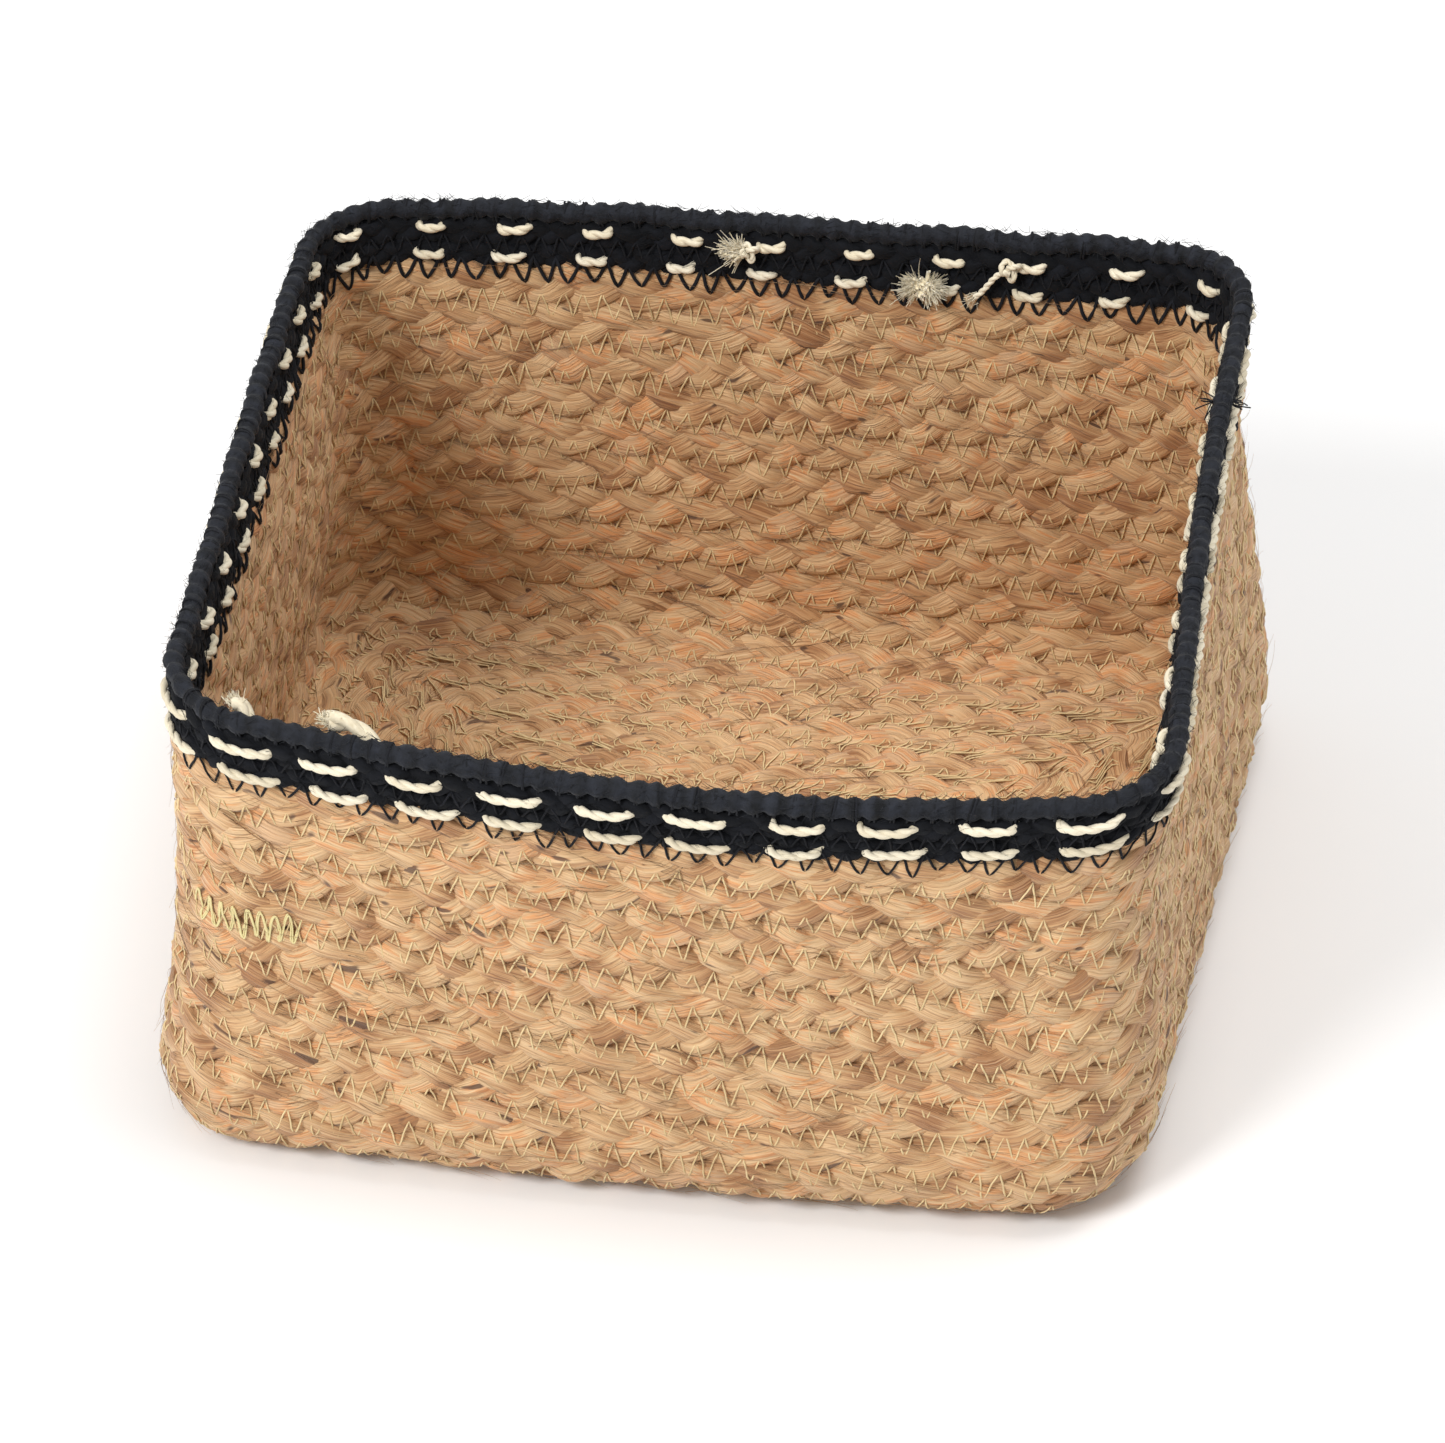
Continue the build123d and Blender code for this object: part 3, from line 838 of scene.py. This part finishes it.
def running_stitches(band, material):
    """Two rows of cream yarn: long floats outside and short ones inside."""
    for row, braid in enumerate(band):
        ring = braid.ring
        count = round(ring.length / YARN_SPACING)
        back_middle = (ring.starts[2] + ring.starts[3]) / 2 / ring.length
        tubes = []
        chance = np.random.default_rng(1400 + row)
        for index in range(count):
            for face, length, offset in ((1, FLOAT_LENGTH, 0.0), (-1, INNER_FLOAT_LENGTH, 0.5)):
                middle = (index + offset + chance.uniform(-0.05, 0.05)) / count * ring.length
                middle += YARN_DRIFT * math.cos(2 * math.pi * (middle / ring.length - back_middle))
                middle -= 0.002 * row
                reach = length * chance.uniform(0.9, 1.1) / 2
                share = np.linspace(-1, 1, 22)
                positions = (middle + share * reach) % ring.length
                hang = 0.0009 if face == 1 else 0.0005
                sag = hang * chance.uniform(0.2, 1.6) * (share ** 2 - 1)
                sag = sag + 0.0005 * share * chance.uniform(-1, 1)
                sway = ROW_SWAY * math.cos(4 * math.pi * middle / ring.length)
                lateral = sag + ROW_SHIFTS[row] + sway
                lift = braid.thickness / 2 + 0.0006 - 0.0030 * np.abs(share) ** 7
                where = ring.stations(positions)
                path = ring.place(where, lateral, lift * face)
                normal = ring.normal(where, face)
                tubes += plied(path, normal, YARN_PLY_RADIUS, 100, chance.uniform(0, 6.28))
        name = ("cream_stitches_lower", "cream_stitches_upper")[row]
        add_piece(name + "_yarn", tubes, material, "cream_yarn", name)


def knot_path(centre, right, up, out, size):
    """The line of a small overhand knot."""
    turn = np.linspace(0, 2 * math.pi * 0.98, 90)[:, None]
    across = (np.sin(turn) + 2 * np.sin(2 * turn)) / 3 * right
    rise = (np.cos(turn) - 2 * np.cos(2 * turn)) / 3 * up
    depth = -np.sin(3 * turn) * 0.45 * out
    return centre + (across + rise + depth) * size


def middle_of(name):
    low, high = (np.array(corner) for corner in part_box(name))
    return (low + high) / 2


def fray(centre, direction, count, length, spread, seed, radius=0.00009):
    """A brush of fine fibres."""
    chance = np.random.default_rng(seed)
    tubes = []
    direction = np.array(direction, dtype=float)
    for _ in range(count):
        aim = direction + chance.normal(0, spread, 3)
        aim /= np.linalg.norm(aim)
        bend = chance.normal(0, 0.35, 3)
        share = np.linspace(0, 1, 6)[:, None]
        size = length * chance.uniform(0.55, 1.15)
        start = np.array(centre) + chance.normal(0, 0.0007, 3)
        path = start + (aim * share + bend * share ** 2 * 0.5) * size
        tubes.append(fibre(path, np.tile([0.3, 0.5, 0.8], (6, 1)), radius, 3, chance.random()))
    return tubes


def yarn_ends(material, fluff):
    """Knots, frayed ends and loose tails of the cream yarn, inside the rim."""
    right, up, inward = np.array([1.0, 0, 0]), np.array([0, 0, 1.0]), np.array([0, -1.0, 0])
    low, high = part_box("yarn_knot_with_tail")
    top = np.array([(low[0] + high[0]) / 2, (low[1] + high[1]) / 2, high[2] - 0.0035])
    path = knot_path(top, right, up, inward, 0.0031)
    tubes = plied(path, inward, 0.00062, 200, 0.4)
    share = np.linspace(0, 1, 24)[:, None]
    tail = top + (-right * 0.011 - up * 0.008) * share + up * 0.0015 * np.sin(share * 5) + inward * 0.001
    tubes += plied(tail, inward, 0.00065, 200, 1.0)
    add_piece("yarn_knot_with_tail_yarn", tubes, material, "cream_yarn", "yarn_knot_with_tail")
    tubes = fray(tail[-1], -right - up, 26, 0.004, 0.35, 1503)

    middle = middle_of("yarn_knot_tied_end")
    path = knot_path(middle, right, up, inward, 0.0027)
    tied = plied(path, inward, 0.0006, 200, 2.0)
    add_piece("yarn_knot_tied_end_yarn", tied, material, "cream_yarn", "yarn_knot_tied_end")
    tubes += fray(middle - right * 0.002, -right + up * 0.2, 190, 0.0066, 0.42, 1504, 0.00015)
    tubes += fray(middle - right * 0.003, -right + inward * 0.3, 46, 0.0040, 0.40, 1505, 0.00062)

    middle = middle_of("yarn_tuft_frayed")
    for side in (-1, 1):
        tubes += fray(middle + right * 0.001 * side, right * side + inward * 0.35, 340, 0.0060, 0.50,
                      1510 + side, 0.00011)
        tubes += fray(middle, right * side + inward * 0.6, 60, 0.0040, 0.50, 1520 + side, 0.00085)
    add_piece("yarn_tuft_frayed_fibres", tubes, fluff, "cream_yarn", "yarn_tuft_frayed")


def loose_tails(band, material, fluff):
    """Soft white yarn ends behind the front rim, and a small loop inside the right rim."""
    ring = band[1].ring
    tubes, fibres = [], []
    inner_y = -ring.core[1] - ring.radius + band[1].thickness / 2
    for start_x, lean_x, rise, seed in ((-0.078, -0.019, 0.0062, 1601), (-0.119, -0.006, 0.0055, 1602)):
        share = np.linspace(0, 1, 26)[:, None]
        base = np.array([start_x, inner_y, ring.height - 0.001])
        aim = np.array([lean_x, 0.0055, rise])
        path = base + aim * share + np.array([0, 0.0025, 0.0030]) * np.sin(share * 3)
        swell = 1.0 + 0.35 * share[:, 0]
        tubes += plied(path, [0, 1.0, 0.3], 0.00150, 40, seed, swell=swell)
        fibres += fray(path[-1], aim / np.linalg.norm(aim), 60, 0.0032, 0.45, seed, 0.00016)
        fibres += fray(path[-6], aim / np.linalg.norm(aim), 40, 0.0036, 0.60, seed + 5, 0.00012)
    share = np.linspace(0, 1, 30)[:, None]
    inner_x = ring.core[0] + ring.radius - band[1].thickness / 2
    base = np.array([inner_x, 0.0200, band[0].ring.height - 0.003])
    hang = np.array([-0.002, 0, -0.006])
    loop = base + np.array([-0.001, 0.010, 0]) * share + hang * np.sin(share * math.pi)
    tubes += plied(loop, [-1.0, 0, 0.2], 0.0007, 160, 0.3)
    add_piece("yarn_tails_loose_yarn", tubes, material, "cream_yarn", "yarn_tails_loose")
    add_piece("yarn_tails_fibres", fibres, fluff, "cream_yarn")


def thread_ends(wall, jute, lime, black_thread):
    """Fastened-off seam thread at the front left, and a jute knot and black ends on the right."""
    patch_height, ends_y = 0.082, 0.060
    course = min(range(2, len(wall) - 1), key=lambda index: abs(wall[index].ring.height - patch_height))
    below, above = wall[course], wall[course + 1]
    ring = above.ring
    chance = np.random.default_rng(1800)
    start = ring.starts[6] - 0.017
    tubes = []
    for layer in range(2):
        turns = 16
        share = np.linspace(0, 1, turns * 8 + 1)
        positions = start + 0.032 * share + 0.0012 * layer + 0.0004 * np.sin(share * 57 + layer)
        offset = 0.0015 + 0.0046 * np.sin(math.pi * turns * share + layer * 1.1)
        offset += 0.0006 * np.sin(share * 23 + layer)
        stations = ring.stations(positions)
        surface = on_seam(below, above, stations, offset, 1, 0.0004 + 0.0003 * layer)
        tone = chance.uniform(0.3, 0.7)
        tubes.append(fibre(surface, ring.normal(stations, 1), THREAD_RADIUS, 6, tone))
    add_piece("seam_thread_fastening", tubes, lime, "natural_thread")
    spot = np.array([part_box(WALL_NAMES[1])[1][0] - 0.0005, 0.052, 0.019])
    path = knot_path(spot, np.array([0, 1.0, 0]), np.array([0, 0, 1.0]), np.array([1.0, 0, 0]), 0.0020)
    knot = plied(path, [1.0, 0, 0], 0.00065, 160, 0.2)
    add_piece("jute_knot", knot, jute, "jute_braid")
    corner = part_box("rim_edge_cord")[1]
    ends = []
    for side, seed in ((1, 1811), (-1, 1812)):
        edge = corner[0] - 0.003 + side * 0.0026
        ends += fray((edge, ends_y, corner[2] - 0.003), (side, 0.1, -0.5),
                     count=11, length=0.0050, spread=0.55, seed=seed, radius=0.00024)
    add_piece("rim_black_thread_ends", ends, black_thread, "black_thread")


def stray_fibres(name, braids, slot_name, material, per_metre, length, lift, radius, seed):
    """Loose hairs that leave the braid along its strands."""
    chance = np.random.default_rng(seed)
    tubes = []
    for braid in braids:
        ring = braid.ring
        for face in (1, -1):
            for _ in range(int(ring.length * per_metre)):
                start = chance.random() * ring.length
                run = chance.uniform(0.35, 1.0) * length
                slope = chance.choice([-1, 1]) * chance.uniform(0.05, 0.55)
                share = np.linspace(0, 1, 7)
                positions = (start + run * share) % ring.length
                lateral = chance.uniform(-0.42, 0.42) * braid.width + slope * run * share
                lateral += 0.0006 * np.sin(share * 6 + start * 900)
                inside = np.clip(lateral, -braid.width * 0.46, braid.width * 0.46)
                stations = ring.stations(positions)
                surface = braid.height(stations, inside, face).max() * 0.6 + braid.thickness * 0.18
                rise = lift * chance.uniform(0, 1) ** 2 * share ** 2
                path = ring.place(stations, inside, (surface + 0.0001 + rise) * face)
                thin = radius * chance.uniform(0.6, 1.2) * (1 - 0.7 * share)
                tubes.append(fibre(path, ring.normal(stations, face), thin, 3, chance.random()))
    add_piece(name, tubes, material, slot_name)


# ---- floor, lights and camera ----

def pale_floor():
    bpy.ops.mesh.primitive_plane_add(size=14, location=(0, 0, 0))
    floor = bpy.context.object
    floor.name = "studio_floor"
    shader = Shader("studio_paper", 0.9, 0.0, 0.2)
    shader.surface.inputs["Base Color"].default_value = (0.87, 0.87, 0.87, 1)
    floor.data.materials.append(shader.material)


def soft_light(name, place, aim, size, power):
    data = bpy.data.lights.new(name, "AREA")
    data.shape = "DISK"
    data.size = size
    data.energy = power
    light = new_object(name, data)
    light.location = place
    light.rotation_euler = (Vector(aim) - Vector(place)).to_track_quat("-Z", "Y").to_euler()


def studio():
    world = bpy.data.worlds.new("studio_air")
    world.use_nodes = True
    air = world.node_tree.nodes["Background"].inputs
    air["Color"].default_value = (1, 1, 1, 1)
    air["Strength"].default_value = 0.62
    bpy.context.scene.world = world
    soft_light("key", (-1.0, -1.5, 1.7), (0, 0, 0.05), size=0.9, power=40)
    soft_light("top", (0.5, 0.2, 2.2), (0, 0, 0), size=1.2, power=24)
    bpy.context.scene.view_settings.view_transform = "Standard"


def camera():
    """A long lens, 37 degrees above the horizontal and 8 degrees round to the right."""
    azimuth, elevation, distance = math.radians(8.4), math.radians(36.9), 2.6
    aim = Vector((-0.0021, 0.0020, 0.070))
    away = Vector((math.sin(azimuth) * math.cos(elevation),
                   -math.cos(azimuth) * math.cos(elevation), math.sin(elevation)))
    data = bpy.data.cameras.new("camera")
    data.lens = 217.3
    data.sensor_width = 36.0
    data.clip_end = 30.0
    made = new_object("camera", data)
    made.location = aim + away * distance
    made.rotation_euler = (-away).to_track_quat("-Z", "Y").to_euler()
    bpy.context.scene.camera = made


def build():
    jute = jute_material()
    straw = yarn_material("seam_thread", (202, 174, 126), (233, 210, 162), 0.6, 0.1, 0.0002)
    lime = yarn_material("fastening_thread", (204, 188, 132), (232, 219, 166), 0.6, 0.1, 0.0002)
    black = yarn_material("black_yarn", (7, 8, 11), (20, 22, 28), 0.95, 0.02, 0.0006)
    slate = yarn_material("slate_cord", (8, 9, 12), (34, 37, 45), 0.8, 0.05, 0.0010)
    black_thread = yarn_material("black_thread", (7, 8, 12), (22, 24, 31), 0.8, 0.03, 0.0002)
    cream = yarn_material("cream_yarn", (196, 182, 152), (236, 227, 205), 0.9, 0.2, 0.0003)
    fluff = yarn_material("cream_fluff", (224, 208, 170), (247, 238, 212), 0.9, 0.5, 0.0002)
    floor, wall = natural_braids(jute)
    centre_strip(jute)
    band = black_braids(black)
    seam_threads(floor, wall, straw)
    join_thread(wall[-1], band, black_thread)
    edge_cord(slate, black_thread)
    running_stitches(band, cream)
    yarn_ends(cream, fluff)
    loose_tails(band, cream, fluff)
    thread_ends(wall, jute, lime, black_thread)
    hairy = floor[:5] + wall
    stray_fibres("jute_stray_fibres", hairy, "jute_braid", jute,
                 per_metre=170, length=0.022, lift=0.003, radius=0.00010, seed=1701)
    stray_fibres("jute_long_fibres", hairy, "jute_braid", jute,
                 per_metre=9, length=0.060, lift=0.004, radius=0.00017, seed=1703)
    stray_fibres("black_stray_fibres", band, "black_braid", black,
                 per_metre=900, length=0.008, lift=0.0026, radius=0.00010, seed=1702)
    pale_floor()
    studio()
    camera()


build()
